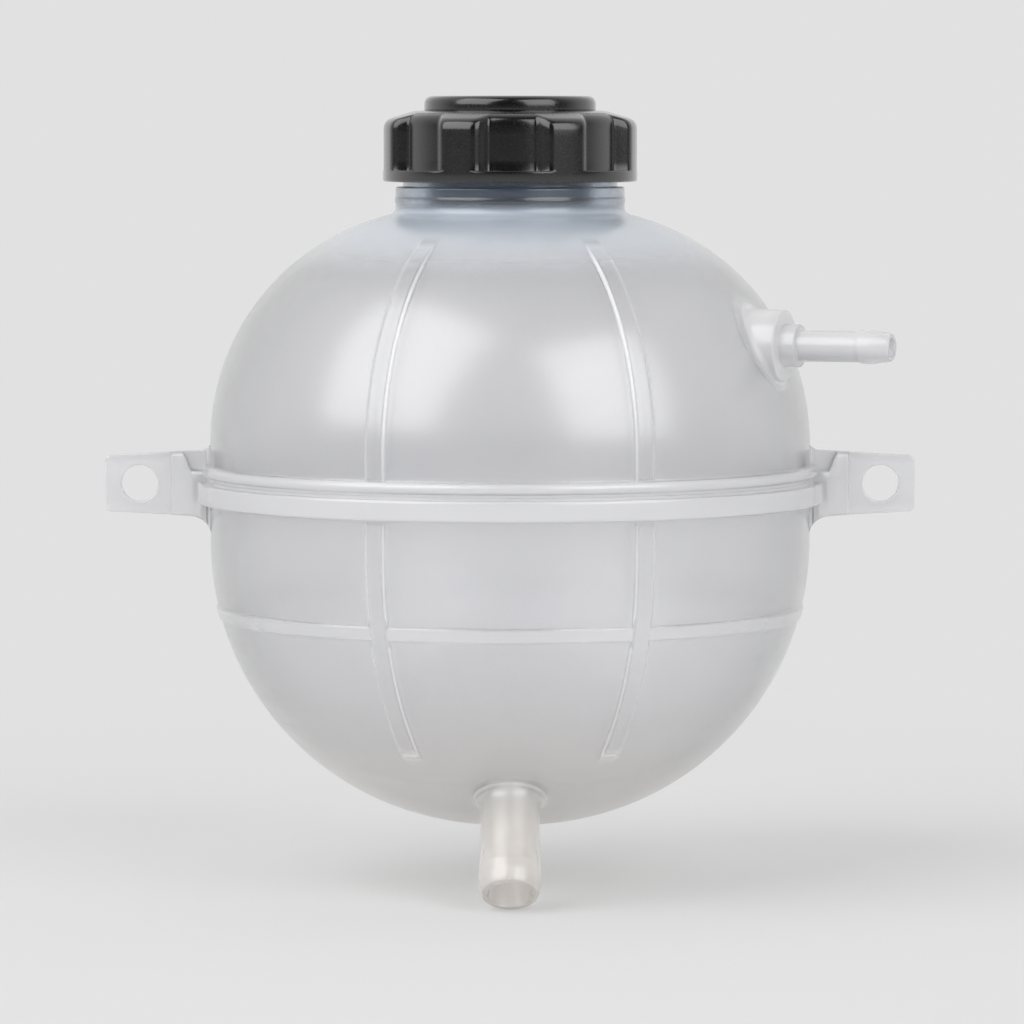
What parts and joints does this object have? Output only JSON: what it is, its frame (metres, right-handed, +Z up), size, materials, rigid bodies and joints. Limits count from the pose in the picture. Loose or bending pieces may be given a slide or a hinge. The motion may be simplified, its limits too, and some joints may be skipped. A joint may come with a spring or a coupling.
{
  "type": "coolant expansion tank",
  "caption": "Ball-shaped translucent coolant expansion tank with side lugs, a vent nipple, a slanted outlet stub and a screw cap that carries a pressure and vacuum valve.",
  "frame": {"origin": "midway between the centres of the two lug holes, on the axis of the ball", "axes": "+Z up along the axis of the ball and the cap; +X through the lugs to the side of the vent nipple; the outlet stub leans toward -Y; the lug holes run along Y"},
  "size_m": [0.2108, 0.1628, 0.2047],
  "materials": {
    "natural_polypropylene": "natural polypropylene, milky and translucent, moulded satin",
    "black_polypropylene": "black polypropylene, fine moulded texture",
    "grey_nylon": "dark blue-grey nylon, moulded",
    "black_rubber": "EPDM rubber, moulded",
    "spring_steel": "bright stainless spring steel"
  },
  "bodies": {
    "tank": {"upper_shell": "natural_polypropylene", "lower_shell": "natural_polypropylene"},
    "valve_unit": {"valve_housing": "grey_nylon", "spring_cover": "grey_nylon", "cover_clip": "spring_steel", "upper_o_ring": "black_rubber", "lower_o_ring": "black_rubber", "rim_gasket": "black_rubber", "pressure_spring": "spring_steel"},
    "cap": {"cap_shell": "black_polypropylene", "cap_top_disc": "black_polypropylene", "cap_retaining_ring": "black_polypropylene"},
    "pressure_valve": {"pressure_valve_plate": "grey_nylon", "pressure_valve_seal": "black_rubber", "vacuum_spring": "spring_steel"},
    "vacuum_valve": {"vacuum_valve_stem": "grey_nylon", "vacuum_valve_seal": "black_rubber", "vacuum_spring_washer": "spring_steel"}
  },
  "joints": [
    {"name": "cap_lift", "type": "slide", "parent": "tank", "child": "valve_unit", "axis": [0, 0, 1], "range_m": [0, 0.03]},
    {"name": "cap_turn", "type": "hinge", "parent": "valve_unit", "child": "cap", "pos_m": [0, 0, 0.085], "axis": [0, 0, 1], "range_deg": [0, 1801]},
    {"name": "pressure_valve_lift", "type": "slide", "parent": "valve_unit", "child": "pressure_valve", "axis": [0, 0, 1], "range_m": [0, 0.003], "stiffness_N_per_m": 3500, "springref_m": -0.009, "deforming": ["pressure_spring"]},
    {"name": "vacuum_valve_drop", "type": "slide", "parent": "pressure_valve", "child": "vacuum_valve", "axis": [0, 0, -1], "range_m": [0, 0.0015], "stiffness_N_per_m": 250, "springref_m": -0.002, "deforming": ["vacuum_spring"]}
  ],
  "couplings": [
    {"joint": "cap_turn", "follows": "cap_lift", "rad_per_m": 1047.2}
  ]
}
